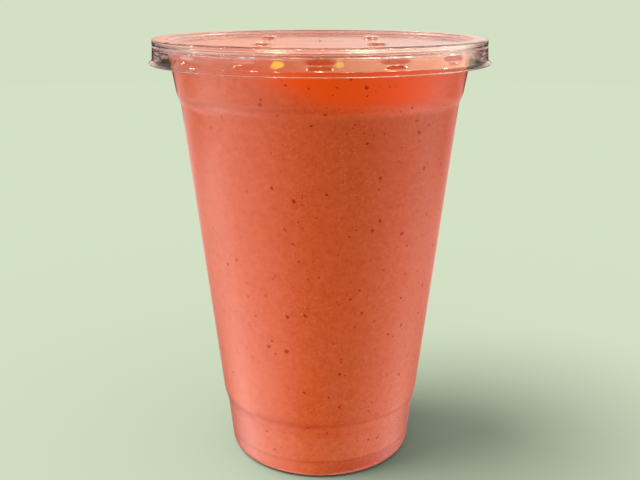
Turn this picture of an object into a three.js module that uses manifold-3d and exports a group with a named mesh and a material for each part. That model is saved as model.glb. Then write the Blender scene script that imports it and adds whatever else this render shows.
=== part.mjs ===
// A clear plastic cup with a push-on lid, filled to the rim with strawberry smoothie.
// Millimetres, +Z up. The origin is the centre of the foot ring, and the front faces -Y.
import * as THREE from 'three';
import { mergeVertices } from 'three/addons/utils/BufferGeometryUtils.js';
import Module from 'manifold-3d';

const wasm = await Module();
wasm.setup();

// Turned pieces share these facets, so that their walls stay parallel
const SEGMENTS = 64;

// Cup: outer radii and heights from the foot up
const CUP_WALL = 0.6;
const FOOT_INNER_RADIUS = 24;
const FOOT_OUTER_RADIUS = 26.4;
const PUNT_RADIUS = 20.5;
const PUNT_HEIGHT = 2.4;
const HEEL_ROUNDING = 3.4;
const HEEL_LEAN = 0.08;
const HEEL_STEPS = 3;
const BAND_TOP_RADIUS = 30.85;
const BAND_TOP = 16.2;
const LOWER_STEP_RADIUS = 31.95;
const LOWER_STEP_TOP = 20.2;
const TAPER_TOP_RADIUS = 42.3;
const TAPER_TOP = 114.1;
const UPPER_STEP_RADIUS = 43.35;
const UPPER_STEP_TOP = 116.4;
const COLLAR_TOP_RADIUS = 45.3;
const COLLAR_TOP = 128.2;

// Cup: the rolled lip
const LIP_RADIUS = 49;
const LIP_TOP = 132;
const LIP_ROLL = 1.4;
const LIP_ROLL_END = -2.1;
const LIP_STEPS = 7;

// Lid: a pressed sheet with a recessed disc, a raised ring and a snap skirt
const LID_SHEET = 0.45;
const LID_TOP = 132.6;
const LID_DISC_TOP = 131.35;
const LID_DISC_RADIUS = 45;
const LID_RING_INNER_RADIUS = 45.5;
const LID_RING_RADIUS = 49.95;
const LID_RING_ROUNDING = 0.8;
const LID_RING_STEPS = 3;
const LID_CREASE_HEIGHT = 130.6;
const LID_CREASE_DEPTH = 0.2;
const LID_SKIRT_TOP = 130.3;
const LID_SKIRT_BOTTOM = 126.4;
const LID_SKIRT_BOTTOM_RADIUS = 50.2;
const LID_EDGE_RADIUS = 51.1;
const LID_EDGE = 125.6;
const SKIRT_ROWS = 6;

// Lid: snap lugs pressed into the skirt under the lip, four blank buttons and the straw slit
const LUG_COUNT = 16;
const LUG_DEPTH = 0.7;
const LUG_HEIGHT = 128.2;
const LUG_HALF_HEIGHT = 1.4;
const BUTTON_RADIUS = 3.4;
const BUTTON_HEIGHT = 1;
const BUTTON_CIRCLE_RADIUS = 23;
const BUTTON_ROOT = 0.2;
const BUTTON_SEGMENTS = 20;
const BUTTON_STEPS = 3;
const SLIT_LENGTH = 14;
const SLIT_WIDTH = 0.6;
const SLIT_DEPTH = 4;

// Smoothie: its level at the wall, the dip of its open surface and its clearance to the wall
const LEVEL = 130.6;
const SURFACE_DIP = 0.5;
const MENISCUS_WIDTH = 2.5;
const WALL_GAP = 0.12;
const PIECE_GAP = 0.3;

// Fruit bits: half sizes, and where they float against the front wall
const BIT_DEPTH = 43.1;
const BIT_HEIGHT = 128.2;
const BITS = [
  { name: 'fruit_bit_left', angle: -14.5, half: [2.7, 1.7, 1.75], turn: 0.3 },
  { name: 'fruit_bit_right', angle: 6.2, half: [2.1, 1.6, 1.6], turn: 1.7 },
];
const BIT_RELIEF = 0.1;
const BIT_WAVES = [3, 4];
const BIT_DETAIL = 2;
const BIT_CEILING = 130.6;

const clearPlastic = new THREE.MeshStandardMaterial({
  color: 0xeef1ea, roughness: 0.08, metalness: 0, transparent: true, opacity: 0.35,
});
const smoothie = new THREE.MeshStandardMaterial({ color: 0xdf7150, roughness: 0.45, metalness: 0 });
const fruitFlesh = new THREE.MeshStandardMaterial({ color: 0xf0b057, roughness: 0.5, metalness: 0 });

// Points are [radius, height] pairs in the half plane that a turned piece is swept from

// A circular arc with its ends, turning from one angle to another
function arc(radius, centreRadius, centreHeight, from, to, steps) {
  return Array.from({ length: steps + 1 }, (_, i) => {
    const angle = from + (to - from) * i / steps;
    return [centreRadius + radius * Math.cos(angle), centreHeight + radius * Math.sin(angle)];
  });
}

// The path moved sideways, to its left for a positive distance, with mitred corners
function offsetPath(path, distance) {
  const normals = path.slice(1).map(([r, z], i) => {
    const along = new THREE.Vector2(r - path[i][0], z - path[i][1]).normalize();
    return new THREE.Vector2(-along.y, along.x);
  });
  return path.map(([r, z], i) => {
    const before = normals[Math.max(i - 1, 0)];
    const after = normals[Math.min(i, normals.length - 1)];
    const mitre = before.clone().add(after).normalize();
    const reach = distance / mitre.dot(after);
    return [r + mitre.x * reach, z + mitre.y * reach];
  });
}

// The part of a rising path that lies below a height, ending exactly on it
function pathBelow(path, height) {
  const last = path.findIndex(([, z], i) => i > 0 && z > height && z > path[i - 1][1]);
  const [r0, z0] = path[last - 1];
  const [r1, z1] = path[last];
  const share = (height - z0) / (z1 - z0);
  return [...path.slice(0, last), [r0 + (r1 - r0) * share, height]];
}

// An outline that runs counterclockwise, swept round +Z
function turned(outline, segments = SEGMENTS) {
  const points = outline.map(([r, z]) => new THREE.Vector2(Math.max(r, 0), z));
  return new THREE.LatheGeometry(points, segments).rotateX(Math.PI / 2);
}

// Every vertex moved by a function of its position
function reshaped(geometry, move) {
  const position = geometry.getAttribute('position');
  const point = new THREE.Vector3();
  for (let i = 0; i < position.count; i += 1) {
    point.fromBufferAttribute(position, i);
    move(point);
    position.setXYZ(i, point.x, point.y, point.z);
  }
  return geometry;
}

function solid(geometry) {
  const bare = geometry.clone();
  bare.deleteAttribute('normal');
  bare.deleteAttribute('uv');
  const merged = mergeVertices(bare, 1e-3);
  return new wasm.Manifold(new wasm.Mesh({
    numProp: 3,
    vertProperties: new Float32Array(merged.getAttribute('position').array),
    triVerts: new Uint32Array(merged.getIndex().array),
  }));
}

function geometryOf(body) {
  const { vertProperties, triVerts } = body.getMesh();
  const geometry = new THREE.BufferGeometry();
  geometry.setAttribute('position', new THREE.BufferAttribute(vertProperties, 3));
  geometry.setIndex(new THREE.BufferAttribute(triVerts, 1));
  geometry.computeVertexNormals();
  return geometry;
}

// The outer face of the cup: punt, foot ring, heel, lower band, taper, collar and rolled lip
function cupPath() {
  const innerRoll = LIP_ROLL - CUP_WALL;
  return [
    [0, PUNT_HEIGHT],
    [PUNT_RADIUS, PUNT_HEIGHT],
    [FOOT_INNER_RADIUS, 0],
    ...arc(HEEL_ROUNDING, FOOT_OUTER_RADIUS, HEEL_ROUNDING, -Math.PI / 2, -HEEL_LEAN, HEEL_STEPS),
    [BAND_TOP_RADIUS, BAND_TOP],
    [LOWER_STEP_RADIUS, LOWER_STEP_TOP],
    [TAPER_TOP_RADIUS, TAPER_TOP],
    [UPPER_STEP_RADIUS, UPPER_STEP_TOP],
    [COLLAR_TOP_RADIUS, COLLAR_TOP],
    ...arc(innerRoll, LIP_RADIUS - LIP_ROLL, LIP_TOP - LIP_ROLL, Math.PI, LIP_ROLL_END, LIP_STEPS),
  ];
}

function cupGeometry() {
  const outside = cupPath();
  const inside = offsetPath(outside, CUP_WALL);
  return turned([...outside, ...inside.reverse()]);
}

// The upper face of the lid: disc, step, ring, crease, skirt and flared edge
function lidPath() {
  const rounding = LID_RING_ROUNDING;
  const skirt = Array.from({ length: SKIRT_ROWS }, (_, i) => {
    const share = i / (SKIRT_ROWS - 1);
    return [
      LID_RING_RADIUS + (LID_SKIRT_BOTTOM_RADIUS - LID_RING_RADIUS) * share,
      LID_SKIRT_TOP + (LID_SKIRT_BOTTOM - LID_SKIRT_TOP) * share,
    ];
  });
  return [
    [0, LID_DISC_TOP],
    [LID_DISC_RADIUS, LID_DISC_TOP],
    [LID_RING_INNER_RADIUS, LID_TOP],
    ...arc(rounding, LID_RING_RADIUS - rounding, LID_TOP - rounding, Math.PI / 2, 0, LID_RING_STEPS),
    [LID_RING_RADIUS, LID_CREASE_HEIGHT + LID_CREASE_DEPTH],
    [LID_RING_RADIUS - LID_CREASE_DEPTH, LID_CREASE_HEIGHT],
    ...skirt,
    [LID_EDGE_RADIUS, LID_EDGE],
  ];
}

// The skirt pressed inwards at each lug, as two bell curves: round the axis and up the skirt
function pressLugs(point) {
  const rise = Math.abs(point.z - LUG_HEIGHT) / LUG_HALF_HEIGHT;
  const radius = Math.hypot(point.x, point.y);
  if (rise >= 1 || radius < LIP_RADIUS) {
    return;
  }
  const round = Math.max(0, Math.cos(LUG_COUNT * Math.atan2(point.x, -point.y)));
  const pressed = LUG_DEPTH * round * Math.cos(rise * Math.PI / 2) ** 2;
  const scale = (radius - pressed) / radius;
  point.x *= scale;
  point.y *= scale;
}

// A low dome on a short root that sinks into the disc
function buttonGeometry() {
  const quarter = arc(1, 0, 0, 0, Math.PI / 2, BUTTON_STEPS);
  const dome = quarter.map(([r, z]) => [r * BUTTON_RADIUS, z * BUTTON_HEIGHT]);
  return turned([[0, -BUTTON_ROOT], [BUTTON_RADIUS, -BUTTON_ROOT], ...dome], BUTTON_SEGMENTS);
}

function lidGeometry() {
  const upper = lidPath();
  const lower = offsetPath(upper, -LID_SHEET);
  let body = solid(reshaped(turned([...lower, ...upper.reverse()]), pressLugs));
  for (let quarter = 0; quarter < 4; quarter += 1) {
    const angle = Math.PI / 4 + quarter * Math.PI / 2;
    const x = BUTTON_CIRCLE_RADIUS * Math.cos(angle);
    const y = BUTTON_CIRCLE_RADIUS * Math.sin(angle);
    body = body.add(solid(buttonGeometry().translate(x, y, LID_DISC_TOP)));
  }
  for (const [width, length] of [[SLIT_WIDTH, SLIT_LENGTH], [SLIT_LENGTH, SLIT_WIDTH]]) {
    const slit = new THREE.BoxGeometry(width, length, SLIT_DEPTH).translate(0, 0, LID_DISC_TOP);
    body = body.subtract(solid(slit));
  }
  return geometryOf(body);
}

// The space inside the cup up to the smoothie's level, kept clear of the wall by a gap
function filling() {
  const wall = pathBelow(offsetPath(cupPath(), CUP_WALL + WALL_GAP), LEVEL);
  const wallRadius = wall[wall.length - 1][0];
  const surface = LEVEL - SURFACE_DIP;
  return turned([...wall, [wallRadius - MENISCUS_WIDTH, surface], [0, surface]]);
}

// A lump of fruit: an ellipsoid with shallow relief, grown all round by a margin
function fruitLump({ angle, half, turn }, margin) {
  const lump = reshaped(new THREE.IcosahedronGeometry(1, BIT_DETAIL), (point) => {
    const wave = Math.sin(BIT_WAVES[0] * point.x + turn) * Math.cos(BIT_WAVES[1] * point.z - turn);
    const relief = 1 + BIT_RELIEF * wave;
    point.set(
      point.x * relief * (half[0] + margin),
      point.y * relief * (half[1] + margin),
      point.z * relief * (half[2] + margin),
    );
  });
  lump.translate(0, -BIT_DEPTH, BIT_HEIGHT);
  return solid(lump.rotateZ(THREE.MathUtils.degToRad(angle)));
}

// A fruit bit lies against the wall, so its outer side takes the wall's curve
function fruitBitGeometry(bit) {
  const wall = offsetPath(cupPath(), CUP_WALL + WALL_GAP);
  const room = turned([...pathBelow(wall, BIT_CEILING), [0, BIT_CEILING]]);
  return geometryOf(fruitLump(bit, 0).intersect(solid(room)));
}

function smoothieGeometry() {
  let body = solid(filling());
  for (const bit of BITS) {
    body = body.subtract(fruitLump(bit, PIECE_GAP));
  }
  return geometryOf(body);
}

function piece(name, geometry, material) {
  const mesh = new THREE.Mesh(geometry, material);
  mesh.name = name;
  return mesh;
}

const drinkInCup = new THREE.Group();
drinkInCup.add(piece('cup', cupGeometry(), clearPlastic));
drinkInCup.add(piece('lid', lidGeometry(), clearPlastic));
drinkInCup.add(piece('smoothie', smoothieGeometry(), smoothie));
for (const bit of BITS) {
  drinkInCup.add(piece(bit.name, fruitBitGeometry(bit), fruitFlesh));
}

export default drinkInCup;
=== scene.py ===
# %% [markdown]
# # A strawberry smoothie in a clear lidded cup
# The drink stands in a thin pressed cup, closed by a flat push-on lid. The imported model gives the
# size and place of every piece, and this lesson dresses it: each piece is worked out again as a fine
# surface, and each finish is built from shader nodes. All lengths are metres, +Z is up, and -Y is the
# front. The frame is loaded first, and its box is kept, so that the dressed model can be held to it.

import bpy
import numpy as np
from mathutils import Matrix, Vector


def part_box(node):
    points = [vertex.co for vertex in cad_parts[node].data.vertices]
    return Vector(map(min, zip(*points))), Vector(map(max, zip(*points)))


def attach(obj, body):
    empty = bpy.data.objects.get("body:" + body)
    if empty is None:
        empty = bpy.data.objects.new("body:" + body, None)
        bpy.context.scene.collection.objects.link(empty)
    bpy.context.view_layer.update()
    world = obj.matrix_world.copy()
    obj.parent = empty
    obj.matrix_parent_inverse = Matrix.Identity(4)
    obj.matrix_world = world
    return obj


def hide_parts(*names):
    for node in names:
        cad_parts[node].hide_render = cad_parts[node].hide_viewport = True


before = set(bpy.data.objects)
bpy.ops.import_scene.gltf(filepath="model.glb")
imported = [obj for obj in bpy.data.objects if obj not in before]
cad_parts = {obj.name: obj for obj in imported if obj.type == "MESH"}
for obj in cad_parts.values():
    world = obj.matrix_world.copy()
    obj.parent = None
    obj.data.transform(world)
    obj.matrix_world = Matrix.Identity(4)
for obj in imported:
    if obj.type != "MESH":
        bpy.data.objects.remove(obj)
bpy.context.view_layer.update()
MM = 0.001
LIP_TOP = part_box("cup")[1].z
LIP_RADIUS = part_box("cup")[1].x
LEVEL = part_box("smoothie")[1].z
print("nodes", sorted(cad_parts), "lip radius", round(LIP_RADIUS, 4), "level", round(LEVEL, 4))

# %% [markdown]
# ## Profiles
# Cup, lid and drink are all turned shapes, so each starts as a profile of (radius, height) points. A
# profile holds only its corners. Rounding, a parallel second face for the sheet and extra rows for
# relief are then worked out from those corners. Drawing every point by hand would give the same
# surface, but nothing in it could be changed later.

# %% Profile helpers
SAME_POINT = 1e-7


def arc(radius, centre, start, end, steps):
    """Points of a circle: centre + radius (cos t, sin t), with t running from start to end."""
    t = np.linspace(start, end, steps)
    return np.column_stack([centre[0] + radius * np.cos(t), centre[1] + radius * np.sin(t)])


def rounded(corners, cuts, steps=7):
    """Replaces each corner P by the parabola (1-t)^2 A + 2t(1-t) P + t^2 B, where A and B lie on the
    two edges at the corner's cut distance. A cut of zero keeps the corner sharp."""
    corners = np.asarray(corners, float)
    cuts = np.asarray(cuts, float)[:, None]
    before = np.roll(corners, 1, axis=0) - corners
    after = np.roll(corners, -1, axis=0) - corners
    a = corners + before / np.linalg.norm(before, axis=1, keepdims=True) * cuts
    b = corners + after / np.linalg.norm(after, axis=1, keepdims=True) * cuts
    t = np.linspace(0, 1, steps)[:, None, None]
    curves = (1 - t) ** 2 * a + 2 * t * (1 - t) * corners + t**2 * b
    path = curves.transpose(1, 0, 2).reshape(-1, 2)
    moved = np.linalg.norm(np.diff(path, axis=0), axis=1) > SAME_POINT
    return path[np.concatenate([[True], moved])]


def offset(path, distance):
    """The parallel path, to the left for a positive distance: each point moves along the mean of its
    two edges' normals, by distance / cos(half the turn), so that straight runs stay parallel."""
    edges = np.diff(path, axis=0)
    edges /= np.linalg.norm(edges, axis=1, keepdims=True)
    normals = np.column_stack([-edges[:, 1], edges[:, 0]])
    before = np.vstack([normals[:1], normals])
    after = np.vstack([normals, normals[-1:]])
    mitre = before + after
    mitre /= np.linalg.norm(mitre, axis=1, keepdims=True)
    return path + mitre * distance / np.sum(mitre * after, axis=1, keepdims=True)


def with_rows(path, spacing):
    """The same path with extra points, so that no stretch of it is longer than the spacing."""
    length = np.concatenate([[0], np.cumsum(np.linalg.norm(np.diff(path, axis=0), axis=1))])
    rows = np.unique(np.concatenate([length, np.arange(0, length[-1], spacing)]).round(8))
    return np.column_stack([np.interp(rows, length, path[:, 0]), np.interp(rows, length, path[:, 1])])


square = np.array([(0, 0), (1, 0), (1, 1), (0, 1)])
print("a square with one rounded corner has", len(rounded(square, [0, 0, 0.2, 0])), "points")

# %% [markdown]
# ## From a profile to a mesh
# Blender's Spin or Screw would turn a profile too, but their result has to be welded and checked for
# faces that point inwards. A grid of angle by profile is a plain formula instead, the poles are single
# vertices from the start, and any relief is one more term on the grid before it becomes a mesh.


# %% Surface helpers
def turned(profile, segments, relief=None):
    """Vertices and faces of x = r sin a, y = -r cos a, z = h on a grid of profile rows by angles.
    The profile runs from the axis back to the axis, anticlockwise, so that faces point outwards.
    relief(r, a, z) may return moved r and z. Each end row shrinks to one vertex."""
    a = np.linspace(0, 2 * np.pi, segments, endpoint=False)[None, :]
    r = np.repeat(np.maximum(profile[:, :1], 0), segments, axis=1)
    z = np.repeat(profile[:, 1:], segments, axis=1)
    if relief:
        r, z = relief(r, a, z)
    verts = np.stack([r * np.sin(a), -r * np.cos(a), z], axis=-1)
    inner = verts[1:-1].reshape(-1, 3)
    verts = np.vstack([verts[0].mean(0), inner, verts[-1].mean(0)])
    rows = len(profile) - 2
    ids = 1 + np.arange(rows * segments).reshape(rows, segments)
    nxt = np.roll(ids, -1, axis=1)
    quads = np.stack([ids[:-1], nxt[:-1], nxt[1:], ids[1:]], axis=-1).reshape(-1, 4)
    first = np.stack([np.zeros(segments, int), nxt[0], ids[0]], axis=-1)
    last = np.stack([np.full(segments, len(verts) - 1), ids[-1], nxt[-1]], axis=-1)
    return verts, quads.tolist() + first.tolist() + last.tolist()


def ball(rows, segments):
    """Vertices and faces of a ball of radius 1: the half circle (cos t, sin t), turned."""
    t = np.linspace(-np.pi / 2, np.pi / 2, rows)
    return turned(np.column_stack([np.cos(t), np.sin(t)]), segments)


def piece(name, verts, faces, material):
    """Puts a surface into a smooth-shaded mesh object that sits at the origin and rides on the cup."""
    mesh = bpy.data.meshes.new(name)
    mesh.from_pydata(verts.tolist(), [], faces)
    mesh.polygons.foreach_set("use_smooth", np.ones(len(mesh.polygons), bool))
    mesh.materials.append(material)
    made = bpy.data.objects.new(name, mesh)
    bpy.context.scene.collection.objects.link(made)
    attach(made, "root")
    print(name, len(mesh.vertices), "vertices,", len(mesh.polygons), "faces")
    return made


# %% [markdown]
# ## Shader maths
# A finish is easier to read as an expression than as a list of links. One small class wraps a node's
# output, and its operators add Math nodes, so a mask can be written as `1 - dots * 0.4`. Every other
# node comes from `node`, which takes the node's type, its settings and its inputs.


# %% Shader helper
class Value:
    """One output of a shader node. Arithmetic on it adds Math nodes to the same tree."""

    def __init__(self, socket):
        self.socket = socket
        self.tree = socket.id_data

    @staticmethod
    def node(tree, kind, settings=None, inputs=None, output=0):
        """Adds a node: settings first, then a number, colour, vector or Value on each named input."""
        made = tree.nodes.new("ShaderNode" + kind)
        for key, setting in (settings or {}).items():
            setattr(made, key, setting)
        for key, given in (inputs or {}).items():
            if isinstance(given, Value):
                tree.links.new(given.socket, made.inputs[key])
            else:
                made.inputs[key].default_value = given
        return Value(made.outputs[output]) if made.outputs else None

    def math(self, operation, other=0.0, swapped=False):
        """A Math node on this value and another one, which comes first when swapped."""
        pair = {1: self, 0: other} if swapped else {0: self, 1: other}
        return Value.node(self.tree, "Math", {"operation": operation}, pair)

    def __add__(self, other):
        return self.math("ADD", other)

    def __sub__(self, other):
        return self.math("SUBTRACT", other)

    def __rsub__(self, other):
        return self.math("SUBTRACT", other, swapped=True)

    def __mul__(self, other):
        return self.math("MULTIPLY", other)

    def __truediv__(self, other):
        return self.math("DIVIDE", other)

    def __rtruediv__(self, other):
        return self.math("DIVIDE", other, swapped=True)

    def __pow__(self, other):
        return self.math("POWER", other)

    def __rpow__(self, other):
        return self.math("POWER", other, swapped=True)

    def __abs__(self):
        return self.math("ABSOLUTE")

    __radd__ = __add__
    __rmul__ = __mul__

    def at_least(self, least):
        """The larger of this value and a number."""
        return self.math("MAXIMUM", least)

    def step(self, low, high):
        """A smooth ramp from 0 at low to 1 at high."""
        ends = {"Value": self, "From Min": low, "From Max": high}
        return Value.node(self.tree, "MapRange", {"interpolation_type": "SMOOTHSTEP"}, ends)

    def axes(self):
        """The x, y and z of a vector."""
        split = Value.node(self.tree, "SeparateXYZ", None, {0: self}).socket.node
        return [Value(out) for out in split.outputs]


# %% [markdown]
# ## Nodes that every finish needs
# Each finish starts from Object coordinates, which stay with the piece from any side, and ends in one
# shader. Noise, a colour laid over another and a shallow bump come back in all of them, so each has a
# short function. The last one prints how many nodes the finish took.

# %% Finish helpers
WHITE = (1, 1, 1, 1)
BLACK = (0, 0, 0, 1)


def new_material(name):
    """An empty node tree, and the Object coordinates that its patterns read."""
    material = bpy.data.materials.new(name)
    material.use_nodes = True
    tree = material.node_tree
    tree.nodes.clear()
    place = Value.node(tree, "TexCoord", output="Object")
    return material, tree, place


def stretched(tree, place, scale):
    """Coordinates scaled along each axis, so that a pattern can run finer one way."""
    return Value.node(tree, "VectorMath", {"operation": "MULTIPLY"}, {0: place, 1: scale})


def noise(tree, place, scale, detail=2.0, roughness=0.5):
    """Soft random patches between 0 and 1, about 1 / scale metres wide."""
    inputs = {"Vector": place, "Scale": scale, "Detail": detail, "Roughness": roughness}
    return Value.node(tree, "TexNoise", None, inputs)


def mixed(tree, factor, a, b):
    """Colour b laid over colour a by a factor."""
    settings = {"data_type": "RGBA", "blend_type": "MIX", "clamp_factor": True}
    return Value.node(tree, "Mix", settings, {0: factor, 6: a, 7: b}, output=2)


def bumped(tree, height, strength, distance):
    """Normals that lean as if the surface rose by height times the distance."""
    return Value.node(tree, "Bump", None, {"Height": height, "Strength": strength, "Distance": distance})


def surface(material, shader):
    """Joins the shader to the material's output."""
    Value.node(material.node_tree, "OutputMaterial", None, {"Surface": shader})
    print("finish", material.name, "has", len(material.node_tree.nodes), "nodes")


def matt(material, inputs):
    """Ends a finish in a Principled shader with no shine of its own. Behind plastic, only that shines."""
    inputs = {"Specular IOR Level": 0.0, **inputs}
    surface(material, Value.node(material.node_tree, "BsdfPrincipled", None, inputs))


# %% [markdown]
# ## Clear plastic
# The cup and the lid are thin clear film. Real refraction gives the bright and dark lines at the rolled
# lip and the lid's crease, so both use glass with the film's index. Lamps have to reach the drink
# behind it, and a path tracer finds that way only by luck. A Light Path switch therefore lets shadow
# rays pass. Handling leaves faint smears, and pressing leaves fine flow lines: they vary the roughness
# and a shallow bump.

# %% Clear plastic finish
FILM_INDEX = 1.575
FILM_ROUGHNESS = 0.015
SMEAR_SCALE = 60.0
RIPPLE_HEIGHT = 0.4 * MM


def clear_plastic(name, tint, smear, flow, ripple):
    """Glass whose roughness grows by smear in soft patches, and whose bump is a noise of the flow's
    scale along each axis."""
    material, tree, place = new_material(name)
    smears = noise(tree, place, SMEAR_SCALE, 4.0, 0.6).step(0.45, 0.75)
    lines = noise(tree, stretched(tree, place, flow), 1.0, 3.0)
    film = {
        "Base Color": tint,
        "Roughness": FILM_ROUGHNESS + smears * smear,
        "IOR": FILM_INDEX,
        "Transmission Weight": 1.0,
        "Normal": bumped(tree, lines, ripple, RIPPLE_HEIGHT),
    }
    glass = Value.node(tree, "BsdfPrincipled", None, film)
    open_way = Value.node(tree, "BsdfTransparent", None, {"Color": WHITE})
    lamp_ray = Value.node(tree, "LightPath", output="Is Shadow Ray")
    surface(material, Value.node(tree, "MixShader", None, {0: lamp_ray, 1: glass, 2: open_way}))
    return material


cup_plastic = clear_plastic(
    "cup_plastic", tint=(1.0, 0.995, 0.985, 1), smear=0.004, flow=(500.0, 500.0, 40.0), ripple=0.08
)
lid_plastic = clear_plastic(
    "lid_plastic", tint=WHITE, smear=0.03, flow=(300.0, 300.0, 300.0), ripple=0.14
)

# %% [markdown]
# ## The cup
# One sheet runs from the raised bottom over the foot ring and heel, up the lower band, the long taper
# and the collar, and rolls outwards into the lip. The outer face is the profile, and the inner face is
# its parallel, one wall thickness in. A Solidify modifier would thicken the sheet too, but the inner
# face is needed again, because the drink is fitted to it.

# %% Cup
CUP_WALL = 0.6 * MM
CUP_ROW = 4 * MM
CUP_SEGMENTS = 224
LIP_ROLL = 1.4 * MM
LIP_START, LIP_END = 2.58, -2.1
LIP_STEPS = 28
# Radius and height of the raised bottom, foot ring, heel, lower step, taper, upper step and collar
CUP_CORNERS = MM * np.array([
    (0, 2.4), (20.5, 2.4), (24, 0), (26.4, 0), (29.15, 0), (30.85, 16.2), (31.95, 20.2), (42.3, 114.1),
    (43.35, 116.4), (45.3, 128.2),
])
CUP_CUTS = MM * np.array([0, 1.6, 0.8, 0.1, 2.6, 1.0, 1.0, 1.2, 1.2, 1.2, 0])


def cup_path():
    """The outer face: rounded corners up to the collar, then the inside of the rolled lip."""
    roll_centre = np.array([LIP_RADIUS - LIP_ROLL, LIP_TOP - LIP_ROLL])
    lip = arc(LIP_ROLL - CUP_WALL, roll_centre, LIP_START, LIP_END, LIP_STEPS)
    corners = np.vstack([CUP_CORNERS, lip[:1]])
    return np.vstack([rounded(corners, CUP_CUTS), lip[1:]])


cup_outside = with_rows(cup_path(), CUP_ROW)
cup_inside = offset(cup_outside, CUP_WALL)
cup_section = np.vstack([cup_outside, cup_inside[::-1]])
cup = piece("cup_sheet", *turned(cup_section, CUP_SEGMENTS), cup_plastic)
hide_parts("cup")

# %% [markdown]
# ## The lid
# The lid is one pressed sheet too: a recessed disc, a raised ring over the lip, a crease, and a skirt
# that flares at its edge. Three things are pressed into it: lugs under the lip, four blank buttons,
# and the crossed slit for a straw. Booleans could cut them, but a pressed sheet has soft flanks, so
# they are added as relief on both faces at once, and the sheet keeps its thickness.

# %% Lid
LID_SHEET = 0.45 * MM
LID_ROW = 0.6 * MM
LID_SEGMENTS = 288
# Radius and height of the disc, ring, crease, skirt and flared edge
LID_CORNERS = MM * np.array([
    (0, 131.35), (45, 131.35), (45.5, 132.6), (49.95, 132.6), (49.95, 130.8), (49.75, 130.6),
    (49.95, 130.3), (50.2, 126.4), (51.1, 125.6),
])
LID_CUTS = MM * np.array([0, 0.5, 0.5, 0.8, 0.12, 0.12, 0.15, 0.5, 0])
LUGS = 16
LUG_DEPTH = 0.7 * MM
LUG_HEIGHT = 128.2 * MM
LUG_HALF = 1.4 * MM
LUG_SHARPNESS = 1.5
BUTTON_PLACE = 23 * MM / np.sqrt(2)
BUTTON_RADIUS = 3.4 * MM
BUTTON_FLANK = 0.6 * BUTTON_RADIUS
BUTTON_RISE = 1.0 * MM
SLIT_HALF_LENGTH = 7 * MM
SLIT_HALF_WIDTH = 0.35 * MM
SLIT_DEPTH = 0.35 * MM
SLIT_END = 1 * MM


def smooth(x):
    """3x^2 - 2x^3 between 0 and 1, and flat outside."""
    x = np.clip(x, 0, 1)
    return x * x * (3 - 2 * x)


def lid_relief(r, a, z):
    """Lugs: the skirt moves in by a bell in angle times a bell in height. Buttons: the disc rises by a
    smooth plateau round four points. Slit: a narrow groove along x = 0 and along y = 0."""
    bell = np.cos(np.clip((z - LUG_HEIGHT) / LUG_HALF, -1, 1) * np.pi / 2) ** 2
    skirt = r > LIP_RADIUS
    moved = r - skirt * LUG_DEPTH * np.maximum(np.cos(LUGS * a), 0) ** LUG_SHARPNESS * bell
    x = np.abs(r * np.sin(a))
    y = np.abs(r * np.cos(a))
    apart = np.hypot(x - BUTTON_PLACE, y - BUTTON_PLACE)
    button = BUTTON_RISE * smooth((BUTTON_RADIUS - apart) / BUTTON_FLANK)
    across = smooth(1 - np.minimum(x, y) / SLIT_HALF_WIDTH)
    along = smooth((SLIT_HALF_LENGTH - np.maximum(x, y)) / SLIT_END)
    return moved, z + button - SLIT_DEPTH * across * along


lid_upper = with_rows(rounded(LID_CORNERS, LID_CUTS), LID_ROW)
lid_lower = offset(lid_upper, -LID_SHEET)
lid_section = np.vstack([lid_lower, lid_upper[::-1]])
lid = piece("lid_sheet", *turned(lid_section, LID_SEGMENTS, lid_relief), lid_plastic)
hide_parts("lid")

# %% [markdown]
# ## The smoothie's finish
# Blended strawberries are an even coral, with finer and coarser pulp, tiny pale air bubbles and a
# little darker juice. Pale pulp has settled at the foot. Painted shade darkens the cup's creases, the
# heel, the lower band's sides and the upper wall towards the right, and under the lid a painted band
# of orange light glows on the front. One picture of it all would not stay sharp, so each of these is a
# mask from noise or from the height, and the masks lay their colours over the coral one after the other.

# %% Smoothie masks
# Height, half width and depth of each line of painted shade where the wall has a crease
CREASES = [(0.0058, 0.0008, 0.4), (0.0191, 0.0010, 0.38), (0.0196, 0.0026, 0.22), (0.1159, 0.0011, 0.5)]
# Ranges in metres over which the painted band of orange light under the lid comes in or fades
LIT_BAND_FOOT, LIT_BAND_TOP = (0.1135, 0.120), (0.1245, 0.1275)
LIT_BAND_LEFT, LIT_BAND_RIGHT, LIT_BAND_BACK = (-0.014, 0.010), (0.022, 0.042), (-0.01, 0.0)
LIT_BAND_SKIN = (0.035, 0.042)
LIT_BAND_LEAN, LIT_BAND_MIDDLE = 2.0, 0.118
# Ranges in metres over which the painted shade at the heel and the lower band's sides comes in or fades
HEEL_TOP, HEEL_LEFT, HEEL_RIGHT = (0.004, 0.0068), (-0.006, 0.012), (0.02, 0.028)
BAND_TOP, BAND_SIDES = (0.012, 0.02), (0.010, 0.027)


def painted_light_band(x, y, z, cloud):
    """Painted light: a band of orange glow under the lid that leans to the right, at the front and near
    the wall only. It is a product of ramps in height, across, in depth and in radius, thinned a little
    by the cloud."""
    high = z.step(*LIT_BAND_FOOT) * (1 - 0.65 * z.step(*LIT_BAND_TOP))
    leaning = x + LIT_BAND_LEAN * (z - LIT_BAND_MIDDLE)
    across = leaning.step(*LIT_BAND_LEFT) * (1 - 0.8 * x.step(*LIT_BAND_RIGHT))
    near_wall = ((x * x + y * y) ** 0.5).step(*LIT_BAND_SKIN) * (1 - y.step(*LIT_BAND_BACK))
    return high * across * near_wall * (0.75 + 0.25 * cloud)


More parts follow.
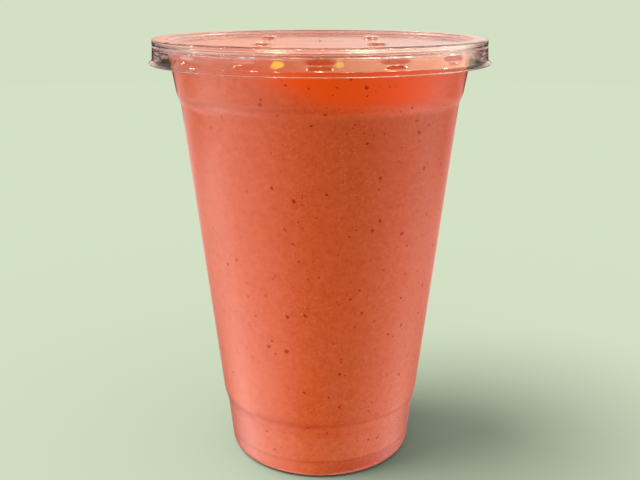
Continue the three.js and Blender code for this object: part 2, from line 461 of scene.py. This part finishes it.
def painted_shade(x, z):
    """Painted shade by shape: the heel, most at its right, the lower band's sides, and a line at each
    crease that fades to nothing one half width away."""
    heel_patch = x.step(*HEEL_LEFT) * (1 - x.step(*HEEL_RIGHT))
    shade_mask = (1 - z.step(*HEEL_TOP)) * (0.12 + 0.7 * heel_patch)
    shade_mask = shade_mask + 0.5 * abs(x).step(*BAND_SIDES) * (1 - z.step(*BAND_TOP))
    for height, half_width, depth in CREASES:
        shade_mask = shade_mask + depth * abs((z - height) / half_width).step(1.0, 0.2)
    return shade_mask


# %% Smoothie finish
CORAL = (0.82, 0.122, 0.029, 1)
PALE_PULP = (0.87, 0.18, 0.07, 1)
# Darker juice for the random patches and the grain, and also the colour of the painted shade
DEEP_JUICE_AND_SHADE = (0.62, 0.066, 0.014, 1)
BUBBLE = (0.92, 0.40, 0.27, 1)
# Painted light: the orange of the lit band under the lid, and of its painted glow
PAINTED_LIGHT_ORANGE = (0.98, 0.088, 0.003, 1)
PAINTED_GLOW_ORANGE = (1.0, 0.07, 0.0, 1)
CLOUD_SCALE, SELDOM_SCALE, MOTTLE_SCALE, BUBBLE_SCALE, GRAIN_SCALE = 45.0, 70.0, 420.0, 950.0, 1000.0
# Ranges in metres for the settled pulp, and for the painted shade high on the wall that grows towards the
# right
SETTLED_TOP, UPPER_WALL_SHADE, UPPER_SHADE_RIGHT = (0.012, 0.017), (0.06, 0.112), (0.005, 0.035)


def smoothie_finish():
    """Coral with each layer's colour laid over it by the layer's mask. The painted band of orange light
    also gives a painted glow by emission, as light from behind would make it."""
    material, tree, place = new_material("smoothie")
    x, y, z = place.axes()
    cloud = noise(tree, place, CLOUD_SCALE, 3.0).step(0.35, 0.7)
    mottle = noise(tree, place, MOTTLE_SCALE)
    grain = noise(tree, place, GRAIN_SCALE, 2.0, 0.65)
    cells = Value.node(tree, "TexVoronoi", None, {"Vector": place, "Scale": BUBBLE_SCALE, "Randomness": 1.0})
    bubbles = (1 - cells.step(0.12, 0.3)) * noise(tree, place, SELDOM_SCALE, 1.0).step(0.3, 0.7)
    settled = 1 - z.step(*SETTLED_TOP)
    # Painted light: the mask of the orange band under the lid
    lit_band_mask = painted_light_band(x, y, z, cloud)
    layers = [
        (0.15 * cloud + 0.25 * mottle.step(0.5, 0.7) + 0.5 * settled, PALE_PULP),
        # Darker juice in random patches, and painted shade at the heel, the lower band's sides and the
        # creases
        (0.2 * (1 - mottle.step(0.3, 0.5)) + painted_shade(x, z), DEEP_JUICE_AND_SHADE),
        # Painted shade: the upper wall darker, more so towards the right
        (z.step(*UPPER_WALL_SHADE) * (0.12 + 0.22 * x.step(*UPPER_SHADE_RIGHT)), DEEP_JUICE_AND_SHADE),
        (0.4 * grain.step(0.5, 0.75), DEEP_JUICE_AND_SHADE),
        (0.4 * (1 - grain.step(0.25, 0.48)), PALE_PULP),
        (0.25 * bubbles, BUBBLE),
        # Painted light: the orange band under the lid
        (lit_band_mask, PAINTED_LIGHT_ORANGE),
    ]
    colour = CORAL
    for mask, laid in layers:
        colour = mixed(tree, mask, colour, laid)
    drink = {
        "Base Color": colour,
        "Roughness": 0.42 + grain * 0.2,
        # Painted glow: the lit band under the lid gives off light, though it is no lamp
        "Emission Color": mixed(tree, lit_band_mask, BLACK, PAINTED_GLOW_ORANGE),
        "Emission Strength": 0.17,
        "Normal": bumped(tree, grain, 0.15, 0.3 * MM),
    }
    matt(material, drink)
    return material


smoothie_coral = smoothie_finish()

# %% [markdown]
# ## The smoothie's body
# The drink fills the cup up to its level, so its side is the cup's inner face once more. It reaches a
# little into the wall, as wet fruit does when it touches the plastic: an air gap there would show as a
# silvery skin. A cylinder cut by the cup would need a Boolean for every change of the cup. At the top
# the surface dips from the wall in a small meniscus, and low waves keep it from looking cut.

# %% Smoothie
REACH = 0.25 * MM
SURFACE_DIP = 0.5 * MM
MENISCUS = 2.5 * MM
POOL_ROW = 1.2 * MM
WAVE_HEIGHT = 0.15 * MM
CALM_EDGE = 8 * MM


def drink_wall():
    """The cup's inner face, moved into the wall by the reach and cut off at the drink's level."""
    wall = offset(cup_outside, CUP_WALL - REACH)
    top = np.argmax(wall[:, 1] > LEVEL)
    share = (LEVEL - wall[top - 1, 1]) / (wall[top, 1] - wall[top - 1, 1])
    return np.vstack([wall[:top], wall[top - 1] + share * (wall[top] - wall[top - 1])])


def drink_relief(r, a, z):
    """The open surface waves by a product of two sines plus a slanted one, which die out at the wall."""
    x = r * np.sin(a)
    y = -r * np.cos(a)
    waves = np.sin(x * 190 + 1.0) * np.cos(y * 150) + 0.6 * np.sin(x * 330 - y * 270)
    calm = smooth((np.hypot(x, y).max() - r) / CALM_EDGE) * (z > LEVEL - 2 * SURFACE_DIP)
    return r, z + WAVE_HEIGHT * waves * calm


side = drink_wall()
brim = side[-1, 0]
pool = [(brim, LEVEL), (brim - 0.6 * MENISCUS, LEVEL - SURFACE_DIP), (0, LEVEL - SURFACE_DIP)]
pool = with_rows(rounded(pool, [0, 0.4 * MENISCUS, 0]), POOL_ROW)
drink_section = np.vstack([side, pool[1:]])
drink = piece("smoothie_body", *turned(drink_section, CUP_SEGMENTS, drink_relief), smoothie_coral)
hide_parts("smoothie")

# %% [markdown]
# ## Strawberry flecks
# Bits of skin and seed too tough for the blender show as dark red flecks against the wall. They are
# sunk in the drink, so they have no solid of their own. Dots in the shader would all look alike and
# flat. Each is a small flattened lump at its true size instead, and hundreds of them are worked out as
# one array and joined in one mesh.

# %% Flecks
FLECKS = 900
FLECK_SMALLEST, FLECK_LARGEST = 0.2 * MM, 0.8 * MM
FLECK_HALF_DEPTH = 0.08 * MM
FLECK_JAG = 0.28
MOSTLY_SMALL = 2.4
FLECK_DARK, FLECK_RED = (0.42, 0.008, 0.0, 1), (0.72, 0.055, 0.004, 1)
FOOT_EDGE = (20 * MM, 4 * MM)
rng = np.random.default_rng(11)
lump_verts, lump_faces = ball(6, 8)


def fleck_finish():
    """Two reds in soft patches about as wide as a few flecks, so that no two look quite alike."""
    material, tree, place = new_material("strawberry_fleck")
    shade = noise(tree, place, MOTTLE_SCALE).step(0.3, 0.7)
    matt(material, {"Base Color": mixed(tree, shade, FLECK_DARK, FLECK_RED), "Roughness": 0.4 + shade * 0.2})
    return material


def fleck_field(count, smallest, largest):
    """Centres spread evenly up the wall. A lump's half sizes follow smallest * (largest / smallest)^u^2.4,
    so most are small. Its axes are the wall's own: round, up and out."""
    angle = rng.uniform(0, 2 * np.pi, count)
    wall = side[(side[:, 1] > FOOT_EDGE[1]) & (side[:, 0] > FOOT_EDGE[0])]
    area = np.concatenate([[0], np.cumsum(np.diff(wall[:, 1]) * wall[1:, 0])])
    height = np.interp(rng.uniform(0, area[-1], count), area, wall[:, 1])
    radius = np.interp(height, wall[:, 1], wall[:, 0])
    size = smallest * (largest / smallest) ** (rng.uniform(0, 1, count) ** MOSTLY_SMALL)
    flat = rng.uniform(0.45, 1.0, count) * size
    out = np.column_stack([np.sin(angle), -np.cos(angle), np.zeros(count)])
    round_way = np.column_stack([np.cos(angle), np.sin(angle), np.zeros(count)])
    up = np.tile([0.0, 0.0, 1.0], (count, 1))
    lean = rng.uniform(0, np.pi, count)[:, None]
    long_way = round_way * np.cos(lean) + up * np.sin(lean)
    short_way = up * np.cos(lean) - round_way * np.sin(lean)
    jag = 1 + rng.uniform(-FLECK_JAG, FLECK_JAG, (count, len(lump_verts), 1))
    local = lump_verts[None] * jag
    centre = out * radius[:, None] + up * height[:, None]
    verts = (
        centre[:, None]
        + local[..., :1] * (long_way * size[:, None])[:, None]
        + local[..., 1:2] * (short_way * flat[:, None])[:, None]
        + local[..., 2:] * (out * FLECK_HALF_DEPTH)[:, None]
    )
    return verts.reshape(-1, 3)


def repeated(faces, count, stride):
    """The faces of one lump for each of count lumps, whose vertices follow each other by the stride."""
    starts = stride * np.arange(count)[:, None, None]
    quads = np.array([face for face in faces if len(face) == 4])
    triangles = np.array([face for face in faces if len(face) == 3])
    return (starts + quads).reshape(-1, 4).tolist() + (starts + triangles).reshape(-1, 3).tolist()


fleck_verts = fleck_field(FLECKS, FLECK_SMALLEST, FLECK_LARGEST)
fleck_faces = repeated(lump_faces, FLECKS, len(lump_verts))
flecks = piece("strawberry_flecks", fleck_verts, fleck_faces, fleck_finish())

# %% [markdown]
# ## Fruit bits
# Two bits of yellow fruit float at the front wall, just under the lip. A sculpted lump would do, but
# its outer side has to lie flat to the wall's curve, so each is a ball with relief whose radius is
# clipped there. They reach a little further into the wall than the drink does, so that they show
# through it. Flesh is deep yellow where it is thick, and the drink shines through its thin edge. A
# mesh attribute that falls from the middle to the edge carries that into the shader.

# %% Fruit finish
CORE = "core"
FLESH_YELLOW, FLESH_RIPE, FLESH_FIBRE = (0.99, 0.45, 0.02, 1), (0.98, 0.34, 0.01, 1), (0.99, 0.55, 0.06, 1)
FLESH_EDGE, FLESH_PAINTED_GLOW = (0.92, 0.22, 0.025, 1), (1.0, 0.62, 0.03, 1)
FIBRE_FLOW = (900.0, 900.0, 250.0)
RIPE_SCALE = 350.0


def fruit_finish():
    """Yellow with riper patches and paler fibres, over the edge's colour by the core attribute. The
    core also gives the flesh a painted glow by emission.
    """
    material, tree, place = new_material("yellow_fruit")
    fibre = noise(tree, stretched(tree, place, FIBRE_FLOW), 1.0, 3.0)
    ripe = noise(tree, place, RIPE_SCALE).step(0.35, 0.65)
    core = Value.node(tree, "Attribute", {"attribute_name": CORE}, output="Fac").step(0.0, 0.6)
    colour = mixed(tree, ripe, FLESH_YELLOW, FLESH_RIPE)
    colour = mixed(tree, 0.4 * fibre.step(0.5, 0.7), colour, FLESH_FIBRE)
    flesh = {
        "Base Color": mixed(tree, core, FLESH_EDGE, colour),
        "Roughness": 0.35 + fibre * 0.2,
        # Painted glow: the thick middle of the flesh gives off light, though it is no lamp
        "Emission Color": mixed(tree, core, BLACK, FLESH_PAINTED_GLOW),
        "Emission Strength": 0.3,
        "Normal": bumped(tree, fibre, 0.3, 0.3 * MM),
    }
    matt(material, flesh)
    return material


fruit_yellow = fruit_finish()

# %% Fruit bits
BIT_REACH = 0.36 * MM
BIT_DEPTH = 43.1 * MM
BIT_HEIGHT = 128.2 * MM
BIT_RELIEF = 0.1
# Node, degrees round the axis, half sizes in mm, phase of the relief and how ripe the middle is
BITS = [
    ("fruit_bit_left", -14.0, (2.8, 2.5, 1.85), 0.3, 1.0),
    ("fruit_bit_right", 6.2, (2.1, 2.4, 1.6), 1.7, 0.5),
]


def fruit_lump(degrees, half, phase):
    """A ball with shallow relief 1 + 0.1 sin(3x + phase) cos(4z - phase), stretched to its half sizes,
    set at its depth and clipped where its radius would pass the wall's inner face plus the reach. The
    core is 1 in the middle of its front and 0 at its edge."""
    unit, faces = ball(24, 36)
    relief = 1 + BIT_RELIEF * np.sin(3 * unit[:, 0] + phase) * np.cos(4 * unit[:, 2] - phase)
    verts = unit * relief[:, None] * np.array(half) * MM + [0, -BIT_DEPTH, BIT_HEIGHT]
    limit = np.interp(verts[:, 2], side[:, 1], side[:, 0]) - REACH + BIT_REACH
    radius = np.hypot(verts[:, 0], verts[:, 1])
    verts[:, :2] *= (np.minimum(radius, limit) / radius)[:, None]
    core = 1 - np.hypot(unit[:, 0], unit[:, 2])
    c, s = np.cos(np.radians(degrees)), np.sin(np.radians(degrees))
    turn = np.array([[c, -s, 0], [s, c, 0], [0, 0, 1]])
    return verts @ turn.T, faces, core


for name, degrees, half, phase, ripeness in BITS:
    verts, faces, core = fruit_lump(degrees, half, phase)
    bit = piece(name + "_flesh", verts, faces, fruit_yellow)
    bit.data.attributes.new(CORE, "FLOAT", "POINT").data.foreach_set("value", core * ripeness)
    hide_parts(name)

# %% [markdown]
# ## Floor
# The cup stands on a plain pale floor that runs into a background of the same colour. A large plane
# with a far edge would show a horizon, so the floor is a disc whose lit colour is that of the world
# behind it. It takes the cup's shadow, but the plastic doesn't mirror it and it blocks no lamp: the
# dome of light does the work of a table instead, where it can be set by direction.

# %% Floor
FLOOR_RADIUS = 1.2
FLOOR_SIDES = 64
FLOOR_DROP = 0.1 * MM
FLOOR_SEEN = (0.651, 0.745, 0.552, 1)
FLOOR_COLOUR = (0.453, 0.519, 0.384, 1)


def floor_finish():
    """Even matt paint."""
    material, _, _ = new_material("pale_floor")
    matt(material, {"Base Color": FLOOR_COLOUR, "Roughness": 0.9})
    return material


ring = np.linspace(0, 2 * np.pi, FLOOR_SIDES, endpoint=False)
drop = np.full(FLOOR_SIDES, -FLOOR_DROP)
floor_verts = np.column_stack([FLOOR_RADIUS * np.cos(ring), FLOOR_RADIUS * np.sin(ring), drop])
floor_mesh = bpy.data.meshes.new("floor")
floor_mesh.from_pydata(floor_verts.tolist(), [], [list(range(FLOOR_SIDES))])
floor_mesh.materials.append(floor_finish())
floor = bpy.data.objects.new("floor", floor_mesh)
bpy.context.scene.collection.objects.link(floor)
floor.visible_glossy = False
floor.visible_diffuse = False
floor.visible_transmission = False
floor.visible_shadow = False
print("floor radius", FLOOR_RADIUS)

# %% [markdown]
# ## The dome that the plastic mirrors
# Clear plastic shows little of its own and much of the room round it: the pale haze down both sides of
# the wall, the warm sheen on the lid and the dark ends of its skirt are all mirrored light. Area lamps
# or a picture of a room could be mirrored, but a lamp has hard edges, and a picture can't be adjusted.
# The world's light is therefore a formula of the direction (x, y, z), built from ramps. There is a
# room round the horizon, brighter on the right, and a table below it that brightens towards the back.
# A ceiling carries a few small lamps, which make the sparkles, and a warm glow stands at the back.

# %% Room and table
# Ranges of x, y, z or the turn over which a zone comes in
HIGH, ROOF_EDGE, HORIZON, TABLE_EDGE = (0.25, 0.6), (0.5, 0.7), (-0.02, 0.02), (-0.35, -0.23)
BACK, BACK_LOW, ROOM_SPAN = (0.2, 0.7), (-0.18, -0.12), (-1.0, 0.9)
FRONT_LOW, DIM_SPAN = (-0.1, -0.075), (-0.5, 0.3)
ROOM_LEFT, ROOM_RIGHT, ROOM_BEHIND, ROOM_BEHIND_LOW = 0.3, 2.9, 0.05, 0.35
DIM_LEFT, DIM_RIGHT = 0.3, 0.75
TABLE_GAIN, TABLE_GAIN_LEAN, TABLE_START, TABLE_START_LEAN, TABLE_SOFT = 2.15, -0.1, 0.21, 0.17, 0.012
TABLE_BACK, TABLE_NEAR, TABLE_UNDER = (0.74, 1.0), (-0.65, -0.4), (-0.72, -0.6)
EDGE_LIFT, EDGE_LEFT = 0.025, (-0.9, -0.4)


def turned_from_front(x, y):
    """The sine of half the turn from the front: 0 in front, 1 at the back."""
    flat = ((x * x + y * y) ** 0.5).at_least(0.001)
    return ((y / flat + 1) * 0.5).at_least(0.0) ** 0.5


def room_light(x, y, z):
    """Grows from left to right in front, and is nearly dark behind. It ends where the ceiling begins,
    and is dimmer just below the horizon, most at the right."""
    back = y.step(*BACK)
    front = ROOM_LEFT + (ROOM_RIGHT - ROOM_LEFT) * x.step(*ROOM_SPAN)
    behind = ROOM_BEHIND + ROOM_BEHIND_LOW * (1 - z.step(*BACK_LOW))
    dim = DIM_LEFT + (DIM_RIGHT - DIM_LEFT) * x.step(*DIM_SPAN)
    room = front * (1 - back) + behind * back
    return room * (1 - z.step(*HIGH)) * (1 - dim * (1 - z.step(*FRONT_LOW)))


def table_light(x, y, z):
    """Starts some way round from the front and grows evenly from there: (p + sqrt(p^2 + soft)) / 2,
    with p the turn past the start. It fades at the very back, and is brightest near the cup."""
    turn = turned_from_front(x, y)
    past = turn - TABLE_START - TABLE_START_LEAN * x
    past = (past + (past * past + TABLE_SOFT) ** 0.5) * 0.5
    nearer = (1.4 - 0.4 * z.step(*TABLE_NEAR)) * (0.7 + 0.3 * z.step(*TABLE_UNDER))
    return (TABLE_GAIN + TABLE_GAIN_LEAN * x) * past * (1 - 0.95 * turn.step(*TABLE_BACK)) * nearer


def room_and_table(x, y, z):
    """The room above the table's edge and the table below it. The edge is higher at the far left."""
    lift = EDGE_LIFT * (1 - x.step(*EDGE_LEFT))
    above = (z - lift).step(*TABLE_EDGE)
    return room_light(x, y, z) * above + table_light(x, y, z) * (1 - above)


# %% Small lamps and glow
SPARKS = [
    (-0.45, -0.75, 0.42), (0.3, -0.85, 0.45), (0.8, -0.4, 0.42), (-0.85, -0.3, 0.40), (0.0, -0.9, 0.40),
    (-0.65, -0.65, 0.40), (0.7, -0.6, 0.40), (0.9, 0.1, 0.42), (-0.9, 0.15, 0.42), (0.5, -0.75, 0.55),
    (-0.25, -0.85, 0.58),
]
OVERHEADS = [(-0.1, 0.79, 0.60), (0.1, 0.79, 0.60)]
SPARK, SPARK_RADIUS = 26.0, np.radians(3.0)
OVERHEAD, OVERHEAD_RADIUS = 10.0, np.radians(2.5)
FULL_SHARE = 0.6
CEILING, GLOW, BLUSH = 0.6, 1.0, 0.75
ROOF, FLUSH = (1.0, 0.25, 0.15, 1), (1.0, 0.44, 0.38, 1)
WARM, PALE = (1.0, 0.50, 0.385, 1), (0.92, 0.72, 0.66, 1)
WARM_LEFT, WARM_RIGHT, GLOW_SIDES = (-0.5, -0.2), (-0.1, 0.2), (0.42, 0.6)
BLUSH_BACK, BLUSH_UNDER, FLUSH_TOP = (0.78, 1.0), (-0.55, -0.3), (-0.1, 0.0)


def lamp_spots(x, y, z, ways, strength, radius):
    """Round spots: the cosine of the angle to each lamp, ramped from its radius to a share of it."""
    edge, full = float(np.cos(radius)), float(np.cos(radius * FULL_SHARE))
    unit = np.array(ways) / np.linalg.norm(ways, axis=1, keepdims=True)
    return strength * sum((x * px + y * py + z * pz).step(edge, full) for px, py, pz in unit.tolist())


def warm_glow(tree, x, y, z):
    """A glow over the horizon at the back, pale at both sides, the warm ceiling, and a blush low at
    the back. Returns the colour and the strength of their sum."""
    over, roof = z.step(*HORIZON), z.step(*ROOF_EDGE)
    sides = x.step(*WARM_RIGHT) + (1 - x.step(*WARM_LEFT))
    elsewhere = mixed(tree, z.step(*FLUSH_TOP), FLUSH, ROOF)
    colour = mixed(tree, over * (1 - roof), elsewhere, mixed(tree, sides, WARM, PALE))
    narrow = 1 - 0.75 * abs(x).step(*GLOW_SIDES)
    glow = GLOW * y.step(*BACK) * (1 + 0.25 * z.step(*HIGH)) * (1 - roof) * over * narrow
    blush = turned_from_front(x, y).step(*BLUSH_BACK) * (1 - z.step(*BACK_LOW))
    blush = BLUSH * blush * (0.3 + 0.7 * z.step(*BLUSH_UNDER))
    return colour, glow + CEILING * roof + blush


# %% Dome
AMBIENT = 0.62
TINT_FROM = (-0.15, -0.05)
ROOM_TINT = (1.0, 0.87, 0.60, 1)


def background(tree, colour, strength):
    """Light of one colour and strength, each a value or a formula."""
    return Value.node(tree, "Background", None, {"Color": colour, "Strength": strength})


def studio_dome():
    """The mirrored light is the sum of a tinted room with its lamps and a warm glow. Matt surfaces get
    one even light instead, and the camera sees the floor's own colour behind everything."""
    world = bpy.data.worlds.new("studio")
    world.use_nodes = True
    world.cycles.sampling_method = "NONE"
    tree = world.node_tree
    tree.nodes.clear()
    x, y, z = Value.node(tree, "TexCoord", output="Generated").axes()
    light = room_and_table(x, y, z)
    light = light + lamp_spots(x, y, z, SPARKS, SPARK, SPARK_RADIUS)
    light = light + lamp_spots(x, y, z, OVERHEADS, OVERHEAD, OVERHEAD_RADIUS)
    tint = mixed(tree, z.step(*TINT_FROM), WHITE, ROOM_TINT)
    both = {0: background(tree, tint, light), 1: background(tree, *warm_glow(tree, x, y, z))}
    mirrored = Value.node(tree, "AddShader", None, both)
    even = background(tree, WHITE, AMBIENT)
    seen = background(tree, FLOOR_SEEN, 1.0)
    matt_ray = Value.node(tree, "LightPath", output="Is Diffuse Ray")
    camera_ray = Value.node(tree, "LightPath", output="Is Camera Ray")
    shown = Value.node(tree, "MixShader", None, {0: matt_ray, 1: mirrored, 2: even})
    shown = Value.node(tree, "MixShader", None, {0: camera_ray, 1: shown, 2: seen})
    Value.node(tree, "OutputWorld", None, {"Surface": shown})
    print("dome has", len(tree.nodes), "nodes")
    return world


scene = bpy.context.scene
scene.world = studio_dome()

# %% [markdown]
# ## Lamps for the drink
# The drink and the floor are matt, so they need lamps rather than mirrored light. A wide sun from the
# left lays the soft shadow. Four broad lamps shine up from below the floor, as light does that a
# pale table throws back. One strong lamp would be simpler, but would leave one side of the wall dark.
# The plastic mirrors none of them, so what it mirrors can be set apart from what lights the drink.

# %% Lamps
AIM = np.array([0, 0, 0.065])
KEY_FROM, KEY_STRENGTH, KEY_ANGLE = AIM + [-0.43, -0.01, 0.90], 2.9, np.radians(40)
LOW_LAMP_SIZE = 0.25
LOW_LAMPS = [
    ("front", (0.0, -0.5, -0.14), 1.72),
    ("left", (-0.492, -0.087, -0.14), 1.4),
    ("right", (0.492, 0.087, -0.14), 2.25),
    ("back", (0.0, 0.5, -0.14), 1.8),
]


def lamp(name, kind, source, strength):
    """A lamp at the source that faces the cup's middle. It lights matt surfaces only, so that the
    plastic mirrors the dome alone."""
    light = bpy.data.lights.new(name, kind)
    light.energy = strength
    light.cycles.use_multiple_importance_sampling = False
    made = bpy.data.objects.new(name, light)
    source = np.array(source)
    made.location = source
    aim = source - AIM
    made.rotation_euler = (np.arctan2(np.hypot(aim[0], aim[1]), aim[2]), 0, np.arctan2(aim[0], -aim[1]))
    made.visible_glossy = False
    made.visible_transmission = False
    made.visible_camera = False
    scene.collection.objects.link(made)
    print("lamp", name, "strength", strength)
    return light


lamp("key", "SUN", KEY_FROM, KEY_STRENGTH).angle = KEY_ANGLE
for name, source, strength in LOW_LAMPS:
    lamp(name, "AREA", source, strength).size = LOW_LAMP_SIZE

# %% [markdown]
# ## Camera
# The camera looks at the cup from just above its lid, close enough that the foot looks narrower than
# it is. It could be placed by eye, but place, tilt and focal length come from a fit to the cup's edge
# circles. Light passes many faces of film on its way, so the path tracer gets many bounces, and
# caustics, which would only add bright noise, are off.

# %% Camera
CAMERA_BACK, CAMERA_UP, CAMERA_TILT = 0.26605, 0.14662, np.radians(16.29)
FOCAL_PIXELS, PHOTO_WIDTH, SENSOR = 861.2, 640, 36.0
BOUNCES, GLOSSY_BOUNCES = 64, 32
lens = bpy.data.cameras.new("camera")
lens.sensor_width = SENSOR
lens.lens = FOCAL_PIXELS / PHOTO_WIDTH * SENSOR
lens.clip_start = 0.01
camera = bpy.data.objects.new("camera", lens)
camera.location = (0, -CAMERA_BACK, CAMERA_UP)
camera.rotation_euler = (np.pi / 2 - CAMERA_TILT, 0, 0)
scene.collection.objects.link(camera)
scene.camera = camera
scene.view_settings.view_transform = "Standard"
scene.cycles.caustics_refractive = False
scene.cycles.caustics_reflective = False
scene.cycles.max_bounces = BOUNCES
scene.cycles.transmission_bounces = BOUNCES
scene.cycles.glossy_bounces = GLOSSY_BOUNCES
scene.cycles.transparent_max_bounces = BOUNCES
print("lens", round(lens.lens, 2), "mm")
